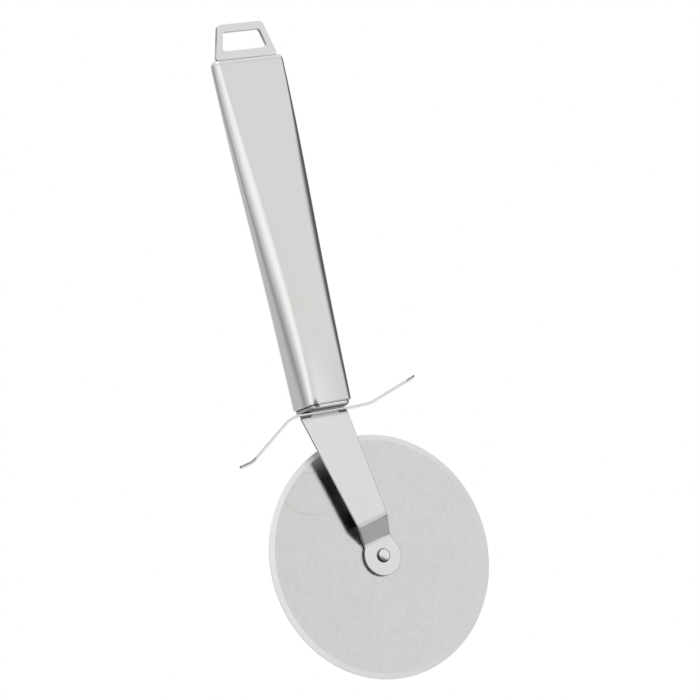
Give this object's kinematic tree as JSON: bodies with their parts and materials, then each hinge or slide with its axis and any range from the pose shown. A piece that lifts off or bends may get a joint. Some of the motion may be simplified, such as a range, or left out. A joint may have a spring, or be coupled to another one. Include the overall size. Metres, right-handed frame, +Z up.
{
  "type": "pizza cutter wheel",
  "caption": "Hand pizza cutter: round bevelled blade riveted to a single joggled arm, bent finger guard, flattened hollow steel handle with a hanging loop.",
  "frame": {"origin": "hang point: middle of the upper edge of the loop's opening, where a hook carries the cutter", "axes": "+Z up along the handle towards the loop, +X across the handle's broad face and in the blade's plane, +Y from the blade's seen face to its back"},
  "size_m": [0.0808, 0.0132, 0.2057],
  "materials": {
    "satin_tube": "satin brushed stainless steel along the handle",
    "polished_cap": "polished stainless steel",
    "stamped_plate": "fine satin stainless plate",
    "polished_strip": "polished stainless strip",
    "blade_steel": "swirl finished stainless sheet with a ground bevel",
    "polished_rivet": "bright polished rivet",
    "washer_steel": "plain stainless washers",
    "weld_metal": "dull weld bead"
  },
  "bodies": {
    "handle": {"handle_tube": "satin_tube", "top_closure": "satin_tube", "hanging_loop": "stamped_plate", "loop_weld": "weld_metal", "end_cap": "polished_cap", "tang_weld": "weld_metal", "finger_guard": "polished_strip", "wheel_arm": "stamped_plate", "axle_rivet": "polished_rivet", "spacer_washer": "washer_steel", "rear_washer": "washer_steel"},
    "wheel": {"cutting_wheel": "blade_steel"}
  },
  "joints": [
    {"name": "wheel_spin", "type": "hinge", "parent": "handle", "child": "wheel", "pos_m": [0.0108, 0.00465, -0.1657], "axis": [0, 1, 0], "continuous": true}
  ]
}
